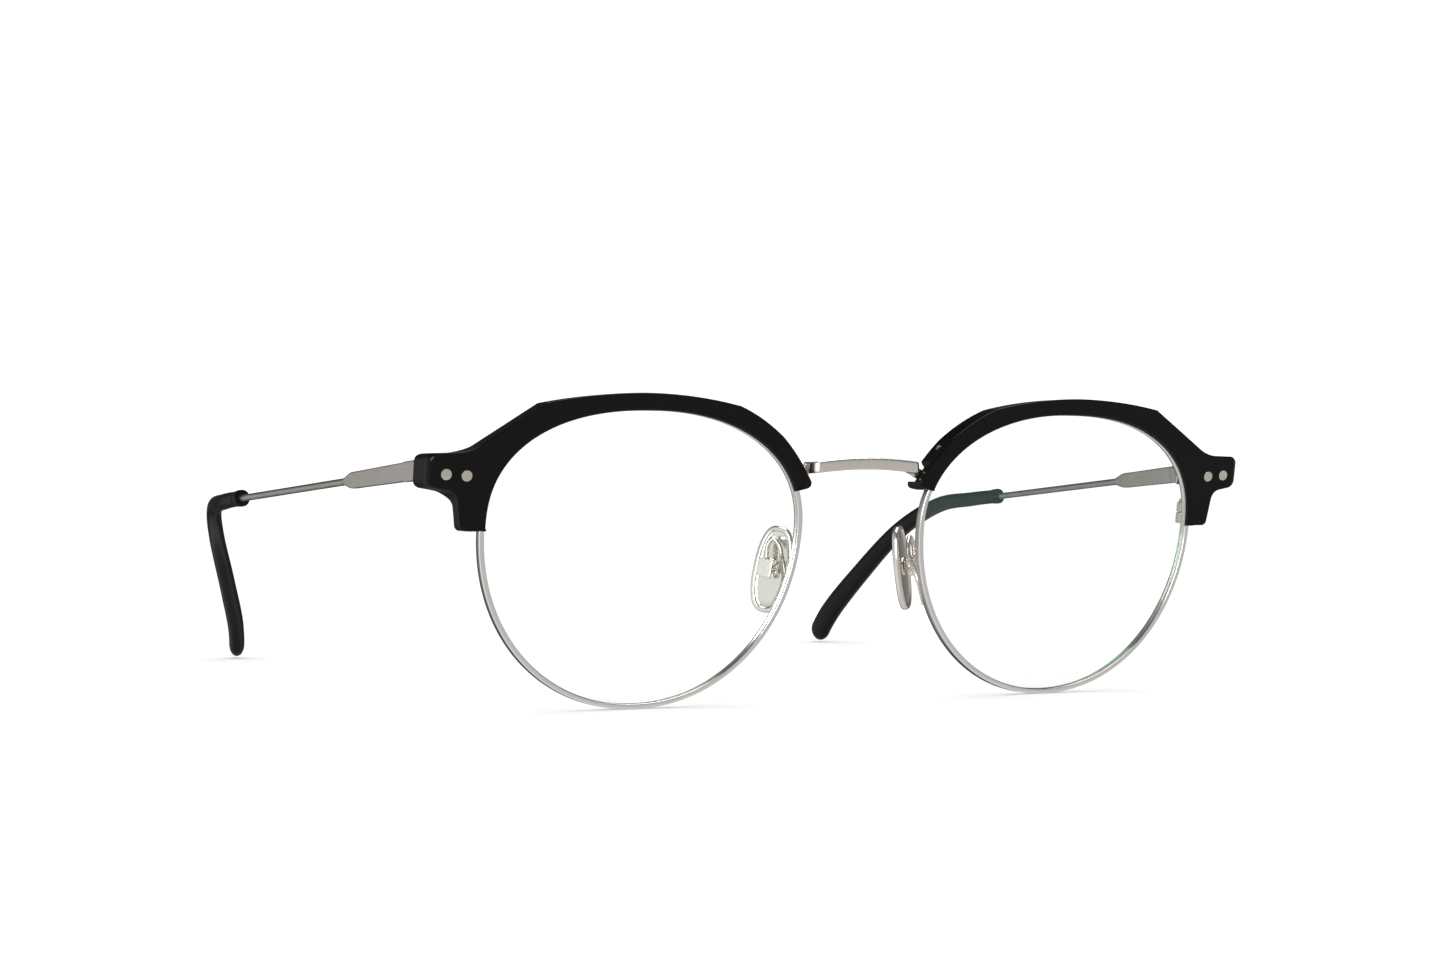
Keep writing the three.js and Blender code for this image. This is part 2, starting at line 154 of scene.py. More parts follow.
def sweep(curve, at, wide, tall, power, up, corner=0.2, sides=32):
    # a superellipse of half sizes wide and tall, carried square to the curve and drawn in at both ends
    run = np.concatenate([[0], np.cumsum(np.linalg.norm(np.diff(curve, axis=0), axis=1))])
    centre = np.stack([np.interp(at, run, curve[:, k]) for k in range(3)], -1)
    tangent = unit(np.gradient(curve, run, axis=0))
    along = unit(np.stack([np.interp(at, run, tangent[:, k]) for k in range(3)], -1))
    sideways = unit(np.cross(along, np.broadcast_to(np.array(up, float), along.shape)))
    lift = np.cross(sideways, along)
    toEnd = np.clip(np.minimum(at, run[-1] - at) / corner, 0, 1)
    drawIn = corner * (1 - np.sqrt(1 - (1 - toEnd) ** 2))
    angle = np.linspace(0, 2 * math.pi, sides, endpoint=False)[None, :]
    shape = [np.broadcast_to(np.asarray(v, float), at.shape)[:, None] for v in (wide, tall, power)]
    x = (shape[0] - drawIn[:, None]) * signedPower(np.cos(angle), 2 / shape[2])
    y = (shape[1] - drawIn[:, None]) * signedPower(np.sin(angle), 2 / shape[2])
    grid = centre[:, None] + sideways[:, None] * x[..., None] + lift[:, None] * y[..., None]
    ends = [np.broadcast_to(centre[k], (1,) + grid.shape[1:]) for k in (0, -1)]
    return np.concatenate([ends[0], grid, ends[1]])


def bar(curve, wide, tall, power, up, corner=0.2, count=60, sides=32):
    # a sweep of one size from end to end
    return sweep(curve, stations(curveLength(curve), corner, count), wide, tall, power, up, corner, sides)


def turned(profile, base, axis, sides=48, slot=None):
    # (radius, height) pairs spun about an axis; slot = (half width, depth) sinks a cut across the top
    axis = unit(np.array(axis, float))
    first = unit(np.cross(axis, [0.3, 0.2, 0.93]))
    second = np.cross(axis, first)
    radius, height = np.array(profile, float).T
    angle = np.linspace(0, 2 * math.pi, sides, endpoint=False)
    x = radius[:, None] * np.cos(angle)
    y = radius[:, None] * np.sin(angle)
    z = np.broadcast_to(height[:, None], x.shape).copy()
    if slot:
        z -= slot[1] * (np.abs(y) < slot[0]) * (height[:, None] > height.max() - 0.45)
    return np.array(base) + x[..., None] * first + y[..., None] * second + z[..., None] * axis


def screwHead(radius, tall, rings=14):
    # a low dome, flat under the rim
    r = np.linspace(1, 0, rings)
    dome = [(radius * k, tall * (0.62 + 0.38 * math.sqrt(1 - (0.92 * k) ** 2))) for k in r]
    return [(0, -0.02), (radius * 0.9, -0.02), (radius, 0.05)] + dome


def softBox(centre, half, axes, corner=0.22, count=24):
    # a superellipsoid: two rounded squares multiplied together
    v = np.linspace(-math.pi / 2, math.pi / 2, count)[:, None]
    u = np.linspace(0, 2 * math.pi, 2 * count, endpoint=False)[None, :]
    x = signedPower(np.cos(v), corner) * signedPower(np.cos(u), corner) * half[0]
    y = signedPower(np.cos(v), corner) * signedPower(np.sin(u), corner) * half[1]
    z = signedPower(np.sin(v), corner) * half[2] * np.ones_like(u)
    axes = np.array(axes, float)
    return np.array(centre) + x[..., None] * axes[0] + y[..., None] * axes[1] + z[..., None] * axes[2]


# the front face and the lens opening

front = {"lean": math.radians(9.95), "back": -1.47, "wrap": 0.000513}
opening = {"across": 35.2, "up": -6.9, "half": 24.4, "above": 17.36, "below": 26.5,
           "powers": (2.35, 2.15, 2.07)}


def onFront(across, depth, up):
    # the flat front leans by a turn about X and wraps back with the square of the distance across;
    # depth runs straight back from it
    y = front["back"] + depth - up * math.sin(front["lean"]) + front["wrap"] * across**2
    z = up * math.cos(front["lean"])
    return np.stack(np.broadcast_arrays(across, y, z), -1)


frontAxes = [(1, 0, 0), (0, 1, 0), (0, -math.sin(front["lean"]), math.cos(front["lean"]))]
frontNormal = (0, -math.cos(front["lean"]), -math.sin(front["lean"]))


def openingEdge(angle, outwards=0.0):
    # quarter superellipses of three powers, moved along the normal by outwards
    def onEdge(a):
        right, above = np.cos(a), np.sin(a)
        power = np.where(above < 0, opening["powers"][2],
                         np.where(right > 0, opening["powers"][0], opening["powers"][1]))
        reach = np.where(above < 0, opening["below"], opening["above"])
        return np.stack([opening["across"] + opening["half"] * signedPower(right, 2 / power),
                         opening["up"] + reach * signedPower(above, 2 / power)], -1)
    along = unit(onEdge(angle + 0.01) - onEdge(angle - 0.01))
    normal = np.stack([along[..., 1], -along[..., 0]], -1)
    return onEdge(angle) + normal * np.asarray(outwards, float)[..., None], normal


def roundOpening(profile, count=420):
    # (outwards, depth) pairs carried round the opening
    outwards, depth = np.array(profile, float).T
    angle = np.linspace(0, 2 * math.pi, count, endpoint=False)
    edge, normal = openingEdge(angle)
    place = edge[None] + normal[None] * outwards[:, None, None]
    grid = onFront(place[..., 0], depth[:, None], place[..., 1])
    return np.concatenate([grid, grid[:1]])


# materials

def newMaterial(name):
    # the name, with its node tree's nodes and links and its Principled shader
    material = bpy.data.materials.new(name)
    material.use_nodes = True
    tree = material.node_tree
    return material, tree.nodes, tree.links, tree.nodes["Principled BSDF"]


def noiseOn(nodes, links, scale, detail, stretch=(1, 1, 1)):
    # noise on the piece's own coordinates, stretched along the axes
    where = nodes.new("ShaderNodeTexCoord")
    turn = nodes.new("ShaderNodeMapping")
    turn.inputs["Scale"].default_value = stretch
    noise = nodes.new("ShaderNodeTexNoise")
    noise.inputs["Scale"].default_value = scale
    noise.inputs["Detail"].default_value = detail
    links.new(where.outputs["Object"], turn.inputs["Vector"])
    links.new(turn.outputs["Vector"], noise.inputs["Vector"])
    return noise.outputs["Fac"]


def spread(nodes, links, value, low, high, lowOut, highOut):
    # carries low to high onto lowOut to highOut in a straight line
    ramp = nodes.new("ShaderNodeMapRange")
    for key, number in (("From Min", low), ("From Max", high), ("To Min", lowOut), ("To Max", highOut)):
        ramp.inputs[key].default_value = number
    links.new(value, ramp.inputs["Value"])
    return ramp.outputs["Result"]


def blendColours(nodes, links, value, dark, light):
    # dark at 0 and light at 1
    mix = nodes.new("ShaderNodeMix")
    mix.data_type = "RGBA"
    mix.inputs["A"].default_value = (*dark, 1)
    mix.inputs["B"].default_value = (*light, 1)
    links.new(value, mix.inputs["Factor"])
    return mix.outputs["Result"]


def bumpFrom(nodes, links, value, strength, distance):
    # turns the normal by the slope of the value
    bump = nodes.new("ShaderNodeBump")
    bump.inputs["Strength"].default_value = strength
    bump.inputs["Distance"].default_value = distance
    links.new(value, bump.inputs["Height"])
    return bump.outputs["Normal"]


def polishedAcetate():
    # near black with a faint cloud and hairline polishing marks
    look = {"deep": (0.0014, 0.0014, 0.0015), "cloud": (0.0032, 0.003, 0.003), "rough": (0.06, 0.13),
            "marks": 0.03, "gloss": 0.15}
    material, nodes, links, shader = newMaterial("polishedAcetate")
    cloud = noiseOn(nodes, links, 240, 5)
    hairline = noiseOn(nodes, links, 1500, 3)
    links.new(blendColours(nodes, links, cloud, look["deep"], look["cloud"]), shader.inputs["Base Color"])
    links.new(spread(nodes, links, cloud, 0.3, 0.7, *look["rough"]), shader.inputs["Roughness"])
    links.new(bumpFrom(nodes, links, hairline, look["marks"], 0.0001), shader.inputs["Normal"])
    shader.inputs["Specular IOR Level"].default_value = look["gloss"]
    return material


def satinMetal(name, dark, light, rough, stretch, grain):
    # fine brushing along one axis, with a slow change of tone
    material, nodes, links, shader = newMaterial(name)
    brushed = noiseOn(nodes, links, 2600, 3, stretch)
    tone = noiseOn(nodes, links, 160, 4)
    links.new(blendColours(nodes, links, tone, dark, light), shader.inputs["Base Color"])
    links.new(spread(nodes, links, brushed, 0.3, 0.7, *rough), shader.inputs["Roughness"])
    links.new(bumpFrom(nodes, links, brushed, grain, 0.00002), shader.inputs["Normal"])
    shader.inputs["Metallic"].default_value = 1
    return material


def coatedLens():
    # mostly see-through, with a thin greenish mirror that grows at grazing angles
    look = {"tint": (0.50, 0.86, 0.66), "smear": (0.56, 0.9, 0.72), "veil": 0.075, "edge": 0.35}
    material, nodes, links, shader = newMaterial("coatedLens")
    shader.inputs["Metallic"].default_value = 1
    smear = noiseOn(nodes, links, 60, 3)
    links.new(blendColours(nodes, links, smear, look["tint"], look["smear"]), shader.inputs["Base Color"])
    links.new(spread(nodes, links, smear, 0.3, 0.7, 0.015, 0.03), shader.inputs["Roughness"])
    clear = nodes.new("ShaderNodeBsdfTransparent")
    facing = nodes.new("ShaderNodeLayerWeight")
    facing.inputs["Blend"].default_value = look["edge"]
    share = spread(nodes, links, facing.outputs["Facing"], 0, 1, look["veil"] * 0.5, look["veil"] * 1.5)
    mix = nodes.new("ShaderNodeMixShader")
    links.new(share, mix.inputs["Fac"])
    links.new(clear.outputs["BSDF"], mix.inputs[1])
    links.new(shader.outputs["BSDF"], mix.inputs[2])
    links.new(mix.outputs["Shader"], nodes["Material Output"].inputs["Surface"])
    return material


acetate = polishedAcetate()
metalLooks = {  # name: darker tone, lighter tone, roughness range, stretch of the brushing, depth of it
    "satinSilver": ((0.66, 0.62, 0.575), (0.75, 0.705, 0.66), (0.20, 0.30), (1, 0.05, 1), 0.02),
    "rimSilver": ((0.72, 0.70, 0.67), (0.82, 0.80, 0.77), (0.12, 0.2), (0.3, 1, 0.3), 0.02),
    "paleRivetMetal": ((0.46, 0.41, 0.35), (0.76, 0.72, 0.63), (0.22, 0.36), (1, 1, 1), 0.05),
    "polishedPadMetal": ((0.66, 0.62, 0.57), (0.76, 0.72, 0.67), (0.12, 0.2), (1, 1, 0.2), 0.01),
}
silver, rimSilver, paleMetal, padMetal = [satinMetal(name, *look) for name, look in metalLooks.items()]
lensCoat = coatedLens()
print("materials ready")

# rims and lenses

rim = {"width": 0.8, "near": 0.5, "far": 2.1, "crown": 0.3, "corner": 0.2, "groove": 0.4}


def rimProfile():
    # a bar with a crowned front, rounded back corners and a groove for the lens inside
    turn = np.linspace(0, math.pi / 2, 6)
    c, w, n, f = rim["corner"], rim["width"], rim["near"], rim["far"]
    middle = (n + f) / 2
    crown = [(w / 2 * (1 - signedPower(math.cos(a), 0.7)), n + rim["crown"] * (1 - math.sin(a) ** 0.8))
             for a in np.linspace(0.02, math.pi - 0.02, 17)]
    farOut = [(w - c + c * math.cos(a), f - c + c * math.sin(a)) for a in turn]
    farIn = [(c - c * math.sin(a), f - c + c * math.cos(a)) for a in turn]
    lensGroove = [(0, middle + 0.3), (rim["groove"], middle), (0, middle - 0.3)]
    return crown + farOut + farIn + lensGroove


addPair("rim", [roundOpening(rimProfile())], rimSilver, sharpAngle=38)

lens = {"thick": 1.7, "edge": 0.32, "bevel": 0.3, "bulge": 1.5, "play": 0.06}


def lensGrid(rings=26, count=240):
    # share of the way out from the middle, dished by the square of the share, thinner at the bevel
    out = np.linspace(0, 1, rings)
    thin = lens["edge"] + (lens["thick"] / 2 - lens["edge"]) * (1 - smoothStep(out, 0.9, 1.0))
    share = np.concatenate([out, [1 + lens["bevel"] / opening["half"]], out[::-1]])
    height = np.concatenate([-thin, [0], thin[::-1]])
    angle = np.linspace(0, 2 * math.pi, count, endpoint=False)
    edge = openingEdge(angle, np.full(count, -lens["play"]))[0]
    middle = np.array([opening["across"], opening["up"]])
    place = middle + share[:, None, None] * (edge[None] - middle)
    depth = (rim["near"] + rim["far"]) / 2 + height - lens["bulge"] * (1 - np.minimum(share, 1) ** 2)
    return onFront(place[..., 0], depth[:, None], place[..., 1])


addPair("lens", [lensGrid()], lensCoat, sharpAngle=30)
print("rims and lenses ready")

# brows

brow = {"deep": 4.5, "endDeep": 7.0, "stemDeep": 2.8, "innerDeep": 3.3, "lip": 1.1,
        "edge": 0.3, "endEdge": 1.1, "endBackEdge": 0.8, "endEdgeAcross": (67, 68.5), "backEdgeAcross": (63, 67),
        "step": 0.18, "startAngle": 163.5, "clear": rim["width"] + 0.16, "softening": 0.12,
        "notch": (0.2, 2.95), "notchWithin": 14, "notchDeep": 1.0, "pocket": -2.6, "pocketWide": 1.1}
# where the back's depth changes: (from, to) across and up, and the distance from the opening
browDepthZones = {"block": ((61, 63.6), (-2.6, -1.6)), "stem": ((56, 60), (-3.2, -2.2)),
                  "opening": (0.3, 2.0)}
# control points of each stretch (across, up), and the angle on the opening that its end faces
browOutline = [
    ([(11.73, -1.51), (10.6, -1.32), (9.85, -1.1)], 163.2),
    ([(9.85, -1.1), (9.05, -0.85), (9.25, 0)], 162.3),
    ([(9.25, 0), (11.6, 4.0), (14.2, 6.6)], 139),
    ([(14.2, 6.6), (17.6, 9.6), (21.6, 11.27)], 117),
    ([(21.6, 11.27), (29, 13.05), (36.9, 13.07)], 86),
    ([(36.9, 13.07), (44.5, 12.95), (51.6, 11.49)], 57.8),
    ([(51.6, 11.49), (56.1, 8.5), (60.6, 5.5)], 31.5),
    ([(60.6, 5.5), (62.2, 4.35), (64, 4.2)], 26),
    ([(64, 4.2), (65.8, 4.14), (67.4, 4.1)], 21.7),
    ([(67.4, 4.1), (68.7, 4.05), (68.7, 2.9)], 20),
    ([(68.7, 2.9), (68.7, 1.5), (68.7, 0.2)], 16),
    ([(68.7, 0.2), (68.65, -0.85), (67.5, -1.0)], 15),
    ([(67.5, -1.0), (66.6, -1.15), (65.6, -1.35)], 12.4),
    ([(65.6, -1.35), (64.2, -1.6), (64.0, -3)], 9.4),
    ([(64.0, -3), (63.75, -4.7), (63.5, -6.5)], 0.6),
    ([(63.5, -6.5), (63.3, -7.2), (62.6, -7.2)], -0.3),
    ([(62.6, -7.2), (61.2, -7.2), (59.75, -7.2)], -0.7),
]


def browEdges():
    # each stretch is a quadratic curve, paired with an even run of angles on the opening
    outer, angles = [np.array(browOutline[0][0][:1])], [np.array([brow["startAngle"]])]
    for controls, facing in browOutline:
        a, b, c = np.array(controls, float)
        count = max(4, int(np.linalg.norm(c - a) / brow["step"]))
        t = (np.arange(count) + 1)[:, None] / count
        outer.append((1 - t) ** 2 * a + 2 * t * (1 - t) * b + t**2 * c)
        angles.append(angles[-1][-1] + (facing - angles[-1][-1]) * t[:, 0])
    return np.concatenate(outer), np.radians(np.concatenate(angles))


def browDepths(loop, toOpening):
    # the plain depth, blended into the end block's, the stem's and the opening's by smooth steps, then
    # averaged over seven neighbours
    across, up = loop.T
    blockAcross, blockUp = browDepthZones["block"]
    stemAcross, stemUp = browDepthZones["stem"]
    block = smoothStep(across, *blockAcross) * smoothStep(up, *blockUp)
    stem = smoothStep(across, *stemAcross) * (1 - smoothStep(up, *stemUp))
    deep = brow["deep"] + (brow["endDeep"] - brow["deep"]) * block + (brow["stemDeep"] - brow["deep"]) * stem
    byOpening = 1 - smoothStep(toOpening, *browDepthZones["opening"])
    deep = mixed(deep, np.minimum(deep, brow["innerDeep"]), byOpening)
    return sum(np.roll(deep, k) for k in range(-3, 4)) / 7


def browWall(loop, count, toOpening, outwards, inwards):
    # behind the lip, points too near the opening move straight out from it, further at the pocket for
    # the closing blocks; the nose-side wall is drawn in at the notch for the bridge's foot
    up, soft = loop[:, 1], brow["softening"]
    pocket = smoothStep(-up, -brow["pocket"] - 0.1, 0.1 - brow["pocket"])
    push = np.maximum(0, brow["clear"] + brow["pocketWide"] * pocket - toOpening)[:, None]
    wall = loop + push * outwards
    onNose = (np.arange(len(loop)) < count) & (loop[:, 0] < brow["notchWithin"])
    low, high = brow["notch"]
    notch = onNose * smoothStep(up, low - soft, low + soft) * (1 - smoothStep(up, high - soft, high + soft))
    return push, wall, wall + inwards * notch[:, None] * brow["notchDeep"]


def browGrid():
    # the outline is one loop, drawn in to a middle line on the front and on the back, with quarter
    # circles for its edges
    outer, angle = browEdges()
    inner = openingEdge(angle)[0]
    count = len(outer)
    loop = np.concatenate([outer, inner[-2:0:-1]])
    held = np.clip(np.arange(count), int(count * 0.03), int(count * 0.97))
    facing = 2 * count - 2 - held

    def middleOf(edges):
        # halfway between the outline and the opening, then the same back along the other side
        halfway = (edges[held] + edges[facing]) / 2
        return np.concatenate([halfway, halfway[-2:0:-1]])

    along = unit(np.roll(loop, -1, 0) - np.roll(loop, 1, 0))
    inwards = np.stack([along[:, 1], -along[:, 0]], -1)
    fineEdge, fineNormal = openingEdge(np.linspace(angle[0], angle[-1], 900))
    apart = np.linalg.norm(loop[:, None] - fineEdge[None], axis=2)
    outwards = fineNormal[apart.argmin(1)]
    push, wall, notched = browWall(loop, count, apart.min(1), outwards, inwards)
    deep = browDepths(loop, apart.min(1))
    # the edges are rounded, more so at the outer end
    near = mixed(brow["edge"], brow["endEdge"], smoothStep(loop[:, 0], *brow["endEdgeAcross"]))
    far = mixed(brow["edge"], brow["endBackEdge"], smoothStep(loop[:, 0], *brow["backEdgeAcross"]))
    drawnNear = loop + inwards * near[:, None]
    drawnFar = notched + inwards * far[:, None]
    middle, backMiddle, middleDeep = middleOf(loop), middleOf(notched), middleOf(deep)
    lip = brow["lip"]
    rows = [(mixed(middle, drawnNear, f), 0) for f in (0, 0.3, 0.6, 0.85, 1)]
    for a in np.linspace(0.15, 1, 7) * math.pi / 2:
        rows.append((loop + inwards * (near * (1 - math.sin(a)))[:, None], near * (1 - math.cos(a))))
    rows += [(loop, np.maximum(near, 0.85)), (loop, np.maximum(near, lip - 0.08))]
    rows += [(loop + 0.09 * push * outwards, np.maximum(near, lip))]
    rows += [(wall, lip + 0.02), (wall, lip + 0.14)]
    rows += [(notched, mixed(lip, deep, share)) for share in (0.08, 0.2, 0.4, 0.6, 0.8)]
    for a in np.linspace(0, 1, 7) * math.pi / 2:
        rows.append((notched + inwards * (far * (1 - math.cos(a)))[:, None], deep - far * (1 - math.sin(a))))
    rows += [(mixed(backMiddle, drawnFar, f), mixed(middleDeep, deep, f)) for f in (0.85, 0.6, 0.3, 0)]
    return np.array([onFront(place[:, 0], depth, place[:, 1]) for place, depth in rows])


addPair("brow", [browGrid()], acetate, sharpAngle=50)
print("brows ready")

# rivets and the small screw in each brow

rivets = {"inner_rivet": (62.82, 0.81), "outer_rivet": (65.82, 1.0)}
rivet = {"radius": 0.82, "proud": 0.06}
for name, (across, up) in rivets.items():
    # a flat head with a rounded rim, and a shank inside the end block
    r, p = rivet["radius"], rivet["proud"]
    head = [(0, -3), (0.5, -3), (0.5, -0.3), (r, -0.3), (r, p - 0.07), (r - 0.03, p - 0.02), (r - 0.09, p),
            (r * 0.6, p + 0.012), (r * 0.3, p + 0.018), (0, p + 0.02)]
    addPair(name, [turned(head, onFront(across, 0, up), frontNormal)], paleMetal,
            sharpAngle=35)

noseScrew = {"across": 13.0, "depth": 2.3, "up": 5.3, "radius": 0.48, "tilt": math.radians(35)}
direction = [-math.cos(noseScrew["tilt"]), 0, math.sin(noseScrew["tilt"])]
noseBase = onFront(noseScrew["across"], noseScrew["depth"], noseScrew["up"])
noseHead = [(0, -1), (0.35, -1), (0.35, -0.1)] + screwHead(noseScrew["radius"], 0.16)
addPair("brow_screw", [turned(noseHead, noseBase, direction, slot=(0.09, 0.12))], paleMetal,
        sharpAngle=35)

# closing blocks behind the rims

lock = {"across": 60.35, "depth": 2.85, "half": (0.74, 0.74), "upper": (-4.97, -3.3), "lower": (-6.8, -5.03)}
for name in ("upper", "lower"):
    low, high = lock[name]
    centre = onFront(lock["across"], lock["depth"], (low + high) / 2)
    addPair("rim_lock_" + name, [softBox(centre, (*lock["half"], (high - low) / 2), frontAxes)], silver)
lockTop = onFront(lock["across"], lock["depth"], lock["upper"][1] + 0.02)
lockHead = [(0, -3.4), (0.4, -3.4), (0.4, -0.02)] + screwHead(0.66, 0.4)
addPair("rim_lock_screw", [turned(lockHead, lockTop, frontAxes[2], slot=(0.11, 0.2))], paleMetal,
        sharpAngle=35)
print("rivets, screws and closing blocks ready")

# the bridge

bridge = {"half": 8.15, "height": 2.03, "rise": 0.65, "wide": 0.52, "tall": 0.875, "power": 5,
          "plan": [(8.7, 1.7), (8.7, 0.4), (8.66, -0.7), (8.15, -1.42), (7.0, -1.62), (3.3, -1.78)],
          "foot": [(8.7, 1.1, 2.3), (8.95, 1.08, 1.9), (9.6, 1.05, 1.4), (10.6, 1.0, 1.0),
                   (11.85, 0.95, 0.8)],
          "footHalf": (0.78, 0.42), "archHalf": 9.1}


def bridgeStrip():
    # a flat strip: round the corner from each foot and across, arched by one minus x squared
    half = np.array(bridge["plan"])
    plan = np.concatenate([half * [-1, 1], [[0, -1.83]], half[::-1]])
    height = bridge["height"] + bridge["rise"] * (1 - (plan[:, 0] / bridge["archHalf"]) ** 2)
    curve = curveThrough(np.column_stack([plan, height]))
    return bar(curve, bridge["wide"], bridge["tall"], bridge["power"], (0, 0, 1), 0.15, 150, 40)


foot = bar(curveThrough(bridge["foot"]), *bridge["footHalf"], 4, (0, 1, 0), 0.15, 40, 32)
addPiece("bridge_fine", [bridgeStrip(), foot, foot * [-1, 1, 1]], silver, "front",
         ["bridge"], sharpAngle=60)
print("bridge ready")

# nose pads, their boxes, screws and arms

pad = {"centre": (11.17, 8.56, -13.4), "splay": math.radians(43), "topInwards": 0.18, "topForwards": 0.105,
       "tall": 13.4, "wide": 6.0, "border": 0.75, "axis": (1.6, 0.4, 0.1), "armWire": 0.38,
       "armLoop": [(10.9, 5.7, -11.4), (11.1, 6.2, -9.7), (11.75, 6.9, -8.7), (12.5, 7.25, -9.6)]}


def padFrame():
    # out from the nose, to the back and up along the pad
    along = unit(np.array([-pad["topInwards"], -pad["topForwards"], 1.0]))
    away = np.array([math.cos(pad["splay"]), -math.sin(pad["splay"]), 0.0])
    away = unit(away - along * along.dot(away))
    return np.array([away, np.cross(along, away), along])


padAxes = padFrame()


def onPad(out, back, up):
    # a place from distances along the pad's own axes
    return np.array(pad["centre"]) + np.stack(np.broadcast_arrays(out, back, up), -1) @ padAxes


def fromPadAxis(out, back, up):
    # the same, from the screw that the pad rocks on
    return onPad(*(np.array([out, back, up]) + pad["axis"]))


def padPlate(count=120):
    # an oval drawn in along its normal by each row's inset, crowned in front and dished behind its border
    angle = np.linspace(0, 2 * math.pi, count, endpoint=False)
    edge = np.stack([pad["wide"] / 2 * signedPower(np.cos(angle), 0.74),
                     pad["tall"] / 2 * signedPower(np.sin(angle), 0.84)], -1)
    along = unit(np.roll(edge, -1, 0) - np.roll(edge, 1, 0))
    normal = np.stack([along[:, 1], -along[:, 0]], -1)
    border = pad["border"]
    rows = [(0.9, share, -0.6 + 0.06 * share**2) for share in (0, 0.3, 0.6, 0.85, 1)]
    turnNear, turnFar = np.linspace(0.25, 1.5, 8), np.linspace(0, 1.5, 6)
    rows += [(0.45 * (1 - math.sin(a)), 1, -0.5 * math.cos(a)) for a in turnNear]
    rows += [(0.3 * (1 - math.cos(a)), 1, 0.2 + 0.38 * math.sin(a)) for a in turnFar]
    rows += [(border - 0.12, 1, 0.58), (border - 0.04, 1, 0.55), (border, 1, 0.45), (border + 0.08, 1, 0.38)]
    rows += [(border + 0.15, share, 0.33 + 0.03 * share**2) for share in (1, 0.85, 0.6, 0.3, 0)]
    grid = [onPad(out, *((edge - normal * inset) * share).T) for inset, share, out in rows]
    return np.array(grid)


lug = softBox(fromPadAxis(-0.35, 0, 0), (0.8, 0.34, 0.85), padAxes, 0.3)
boss = turned([(0, 0), (1.5, 0), (1.5, 0.16), (1.4, 0.27), (1.2, 0.3), (0, 0.3)], fromPadAxis(-1.32, 0, 0),
              padAxes[0])
addPair("nose_pad", [padPlate(), lug, boss], padMetal, body="pad", sharpAngle=50)

boxWalls = [softBox(fromPadAxis(0.12, y, 0), (0.76, 0.29, 1.38), padAxes, 0.2) for y in (-0.9, 0.9)]
boxBack = softBox(fromPadAxis(0.72, 0, 0), (0.17, 1.18, 1.38), padAxes, 0.2)
addPair("pad_box", boxWalls + [boxBack], silver)

padHead = [(0, -2.5), (0.3, -2.5), (0.3, -0.02)] + screwHead(0.58, 0.38)
addPair("pad_screw", [turned(padHead, fromPadAxis(0, -1.24, 0), -padAxes[1], slot=(0.09, 0.18))], paleMetal,
        sharpAngle=35)


def armCurve():
    # up from two places on the back of the rim, over in a loop and down into the box
    ends = openingEdge(np.radians([207, 198]), np.full(2, rim["width"] / 2))[0]
    onRim = onFront(ends[:, 0], np.full(2, rim["far"] + 0.46), ends[:, 1])
    top = onPad(2.2, pad["axis"][1], 1.5)
    return curveThrough([*onRim, *pad["armLoop"], top])


armBar = bar(armCurve(), pad["armWire"], pad["armWire"], 2, (0.3, 0.9, 0.1), 0.25, 90, 24)
addPair("pad_arm", [armBar], silver)
print("nose pads ready")

# hinges

def knuckle(low, high):
    # a short cylinder on the axis with rounded rims
    k = hinge["knuckle"]
    base = (hinge["across"], hinge["back"], low)
    tall = high - low
    lowRim = [(k - 0.15, 0), (k - 0.04, 0.05), (k, 0.16)]
    highRim = [(k, tall - 0.16), (k - 0.04, tall - 0.05), (k - 0.15, tall)]
    return turned([(0, 0), *lowRim, *highRim, (0, tall)], base, (0, 0, 1))


middleLow = hinge["height"] - hinge["tall"] / 2
middleHigh = hinge["height"] + hinge["tall"] / 2
lowPair = (middleLow - hinge["gap"] - hinge["tall"], middleLow - hinge["gap"])
highPair = (middleHigh + hinge["gap"], middleHigh + hinge["gap"] + hinge["tall"])
worldAxes = np.eye(3)
links = []
for low, high in (lowPair, highPair):
    inPlate = onFront(hinge["across"], hinge["inPlate"], low)[1]
    half = (hinge["linkHalf"], (hinge["back"] - inPlate) / 2, (high - low) / 2)
    centre = (hinge["across"], (inPlate + hinge["back"]) / 2, (low + high) / 2)
    links.append(softBox(centre, half, worldAxes, 0.15))
plate = softBox(onFront(*hinge["plate"]), hinge["plateHalf"], frontAxes, 0.16)
addPair("front_hinge", [knuckle(*lowPair), knuckle(*highPair), *links, plate], silver)
hingeHead = [(0, -4.2), (0.58, -4.2), (0.58, -0.01)] + screwHead(0.9, 0.12)
headBase = (hinge["across"], hinge["back"], highPair[1] - 0.06)
addPair("hinge_screw", [turned(hingeHead, headBase, (0, 0, 1), slot=(0.13, 0.2))], paleMetal,
        sharpAngle=35)

# temples: blade, taper and wire in one bar

temple = {"start": (67, 7.9, 1.75), "splay": math.radians(5.2), "drop": math.radians(3.34), "blade": 27,
          "taper": 4, "bladeHalf": (0.6, 1.4), "wire": 0.58, "length": 85.1,
          "shoulder": (6.3, 0.1), "narrowing": 0.12}
templeAlong = np.array([math.sin(temple["splay"]) * math.cos(temple["drop"]),
                        math.cos(temple["splay"]) * math.cos(temple["drop"]), -math.sin(temple["drop"])])
templeSide = unit(np.cross(templeAlong, [0, 0, 1.0]))
templeUp = np.cross(templeSide, templeAlong)


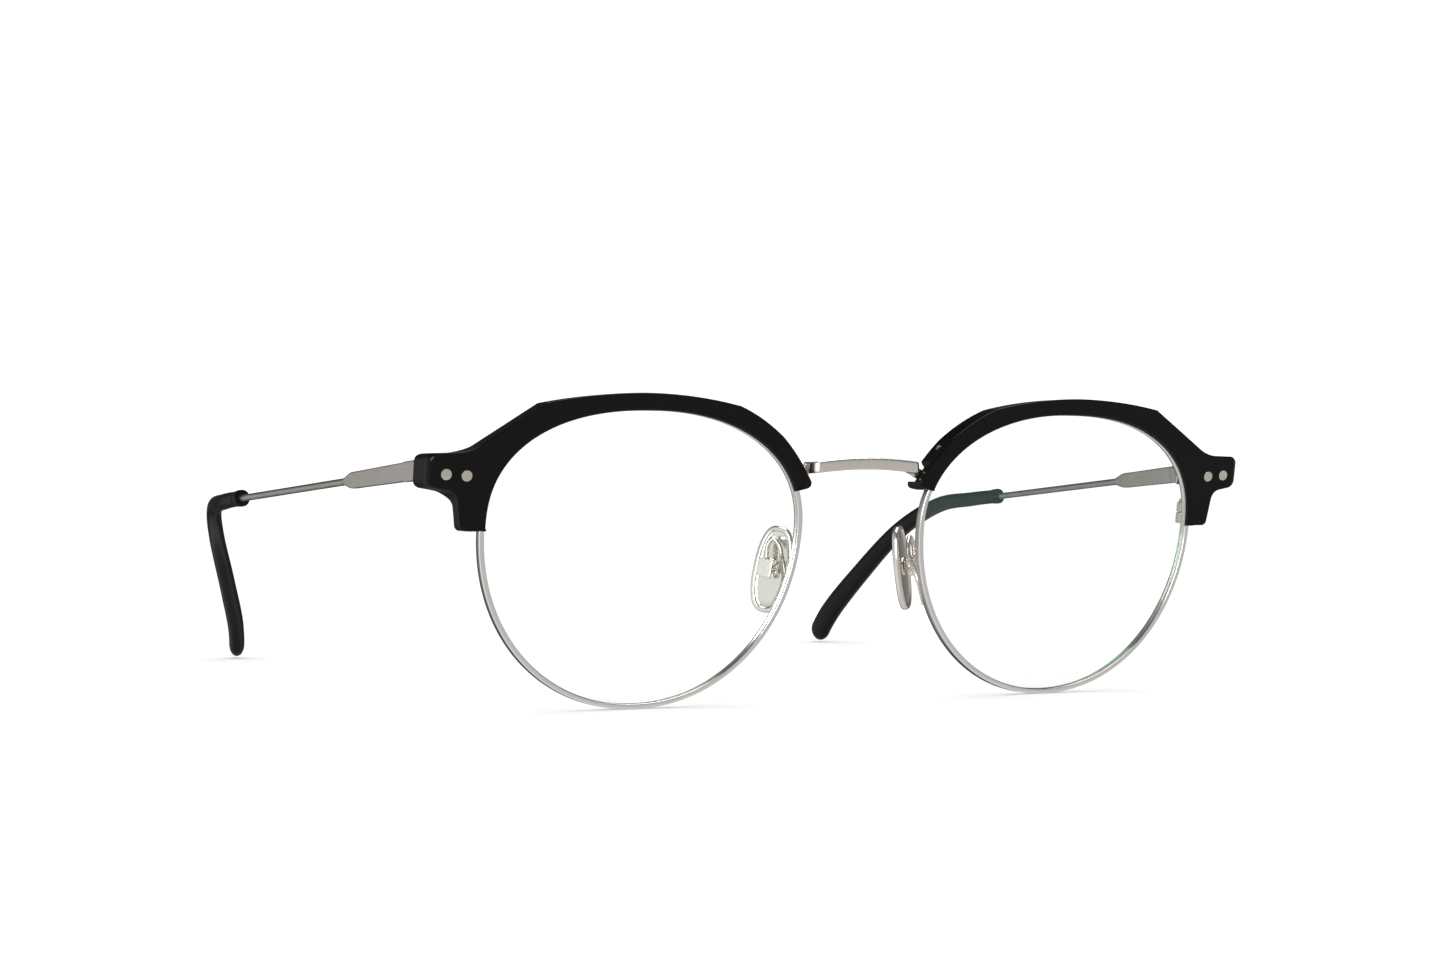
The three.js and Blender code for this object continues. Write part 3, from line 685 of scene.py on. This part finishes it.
def templeBar():
    # half sizes and squareness go from the blade's to the wire's over the taper
    start = np.array(temple["start"])
    curve = start + np.linspace(0, temple["length"], 400)[:, None] * templeAlong
    at = np.concatenate([stations(temple["length"], 0.15, 10)[:7], np.linspace(0.5, 6, 10),
                         np.linspace(6.1, 6.5, 6), np.linspace(7, 26, 30),
                         np.linspace(26.3, 33, 50), np.linspace(34, temple["length"], 40)])
    wireShare = smoothStep(at, temple["blade"] - 0.5, temple["blade"] + temple["taper"])
    wide = mixed(temple["bladeHalf"][0], temple["wire"], wireShare)
    tall = mixed(temple["bladeHalf"][1], temple["wire"], wireShare)
    reach, rise = temple["shoulder"]
    shoulder = rise * (1 - smoothStep(at, reach - 0.2, reach + 0.2))
    tall = tall + shoulder - temple["narrowing"] * smoothStep(at, reach, temple["blade"]) * (1 - wireShare)
    return sweep(curve, at, wide, tall, 9 - 7 * wireShare, (0, 0, 1), 0.15, 56)


addPair("temple", [templeBar()], silver, body="temple_arm", sharpAngle=50)
leafCentre = np.array(temple["start"]) + templeAlong * hinge["leafAlong"] - templeSide * hinge["leafSide"]
leaf = softBox(leafCentre, hinge["leafHalf"], [templeSide, templeAlong, templeUp], 0.16)
linkCentre = (hinge["across"] + 0.85, hinge["back"] + 1.0, hinge["height"])
link = softBox(linkCentre, hinge["armHalf"], worldAxes, 0.16)
addPair("temple_hinge", [knuckle(middleLow, middleHigh), leaf, link], silver,
        body="temple_arm")
print("hinges and temples ready")

# ear tips

tip = {"route": [(74.1, 86.7, -2.82), (74.4, 98, -3.5), (73.5, 109.5, -4.75), (70.6, 120.5, -9.9),
                 (66.2, 130.4, -19.4), (62.9, 137.6, -27.6), (61.75, 141.4, -32.9)],
       "thick": (1.25, 1.45), "tall": (1.3, 2.35), "collar": 0.14, "mouth": 0.14, "endRound": 2.6}


def tipBar():
    # an oval that swells towards a rounded end, with a flared collar where the wire goes in
    curve = curveThrough(tip["route"])
    length = curveLength(curve)
    nearEnd = length - tip["endRound"] * (1 - np.cos(np.linspace(0, math.pi / 2, 14)))[::-1]
    at = np.concatenate([[0, 0.04, 0.12, 0.25], np.linspace(0.4, 4, 14), np.linspace(4.6, length - 2.5, 90),
                         nearEnd])
    share = at / length
    flare = tip["collar"] * (1 - smoothStep(at, 0.9, 3.0)) - tip["mouth"] * (1 - smoothStep(at, 0, 0.25))
    toEnd = np.clip((length - at) / tip["endRound"], 0, 1)
    roundEnd = np.sqrt(np.clip(1 - (1 - toEnd) ** 2, 0, 1))
    wide = (mixed(*tip["thick"], share) + flare) * roundEnd
    tall = (mixed(*tip["tall"], share**1.5) + flare) * roundEnd
    return sweep(curve, at, np.maximum(wide, 0.001), np.maximum(tall, 0.001), 2.25, (0, 0, 1), 1e-6, 40)


addPair("temple_tip", [tipBar()], acetate, body="temple_arm", sharpAngle=50)
print("ear tips ready")

# floor, light and camera

stage = {"floor": (0.985, 0.985, 0.985), "size": 6.0}


def addFloor():
    # a white square that reflections don't see
    half = stage["size"]
    mesh = bpy.data.meshes.new("floor")
    corners = [(-half, -half, 0), (half, -half, 0), (half, half, 0), (-half, half, 0)]
    mesh.from_pydata(corners, [], [(0, 1, 2, 3)])
    floor = bpy.data.objects.new("floor", mesh)
    look, _, _, shader = newMaterial("paleFloor")
    shader.inputs["Base Color"].default_value = (*stage["floor"], 1)
    shader.inputs["Roughness"].default_value = 1
    mesh.materials.append(look)
    bpy.context.scene.collection.objects.link(floor)
    floor.visible_glossy = False


addFloor()

# the room is white all round; reflections see a grey for each height of their direction, brighter to
# the left and dimmed towards dimSide, between the two cosines of dimFrom
studio = {"white": 1.15, "dimSide": (0.35, 0.94, 0), "dimFrom": (0.55, 0.85), "dimShare": 0.1,
          "leftFrom": (-0.6, -0.95), "leftGain": 0.5,
          "heights": [(-1.0, 0.8), (-0.6, 0.74), (-0.4, 0.6), (0.06, 0.66), (0.3, 0.34),
                      (0.6, 0.15), (1.0, 0.15)]}


def mathNode(nodes, links, operation, first, second):
    # the sum or product of two values
    node = nodes.new("ShaderNodeMath")
    node.operation = operation
    links.new(first, node.inputs[0])
    links.new(second, node.inputs[1])
    return node.outputs["Value"]


def studioWorld():
    # (grey by height + gain to the left) times the dimming, for reflections only
    world = bpy.data.worlds.new("studio")
    world.use_nodes = True
    bpy.context.scene.world = world
    nodes, links = world.node_tree.nodes, world.node_tree.links
    direction = nodes.new("ShaderNodeTexCoord").outputs["Generated"]
    split = nodes.new("ShaderNodeSeparateXYZ")
    links.new(direction, split.inputs["Vector"])
    byHeight = nodes.new("ShaderNodeValToRGB")
    links.new(spread(nodes, links, split.outputs["Z"], -1, 1, 0, 1), byHeight.inputs["Fac"])
    stops = byHeight.color_ramp.elements
    for index, (height, grey) in enumerate(studio["heights"]):
        stop = stops[index] if index < 2 else stops.new(1)
        stop.position = (height + 1) / 2
        stop.color = (grey, grey, grey, 1)
    toSide = nodes.new("ShaderNodeVectorMath")
    toSide.operation = "DOT_PRODUCT"
    toSide.inputs[1].default_value = studio["dimSide"]
    links.new(direction, toSide.inputs[0])
    dim = spread(nodes, links, toSide.outputs["Value"], *studio["dimFrom"], 1, studio["dimShare"])
    left = spread(nodes, links, split.outputs["X"], *studio["leftFrom"], 0, studio["leftGain"])
    brighter = mathNode(nodes, links, "ADD", byHeight.outputs["Color"], left)
    seen = mathNode(nodes, links, "MULTIPLY", brighter, dim)
    pick = nodes.new("ShaderNodeMix")
    pick.data_type = "RGBA"
    pick.inputs["A"].default_value = (studio["white"],) * 3 + (1,)
    links.new(nodes.new("ShaderNodeLightPath").outputs["Is Glossy Ray"], pick.inputs["Factor"])
    links.new(seen, pick.inputs["B"])
    links.new(pick.outputs["Result"], nodes["Background"].inputs["Color"])


studioWorld()

lamps = {  # name: (place, size, power), each aimed at the glasses, and without diffuse light
    "overhead": ((0.05, -0.12, 0.9), (1.0, 0.5), 9),
    "leftSoft": ((-0.62, -0.66, 0.1), (0.3, 0.5), 3.5),
}
lampTarget = (0, -0.04, 0.03)
for name, (place, size, power) in lamps.items():
    data = bpy.data.lights.new(name, "AREA")
    data.shape = "RECTANGLE"
    data.size, data.size_y = size
    data.energy = power
    lamp = bpy.data.objects.new(name, data)
    lamp.location = place
    aim = np.array(lampTarget) - np.array(place)
    tilt, turn = math.atan2(math.hypot(aim[0], aim[1]), -aim[2]), math.atan2(-aim[0], aim[1])
    lamp.rotation_euler = (tilt, 0, turn)
    lamp.visible_diffuse = False
    bpy.context.scene.collection.objects.link(lamp)

view = {"place": (-180.57, -350.71, 0.0), "turn": 24.15, "lens": 64.77, "sensor": 36}
cameraData = bpy.data.cameras.new("camera")
cameraData.lens = view["lens"]
cameraData.sensor_width = view["sensor"]
camera = bpy.data.objects.new("camera", cameraData)
camera.location = (np.array(view["place"]) + datum) * mm
camera.rotation_euler = (math.pi / 2, 0, -math.radians(view["turn"]))
bpy.context.scene.collection.objects.link(camera)
bpy.context.scene.camera = camera
bpy.context.scene.view_settings.view_transform = "Standard"
print("stage ready")
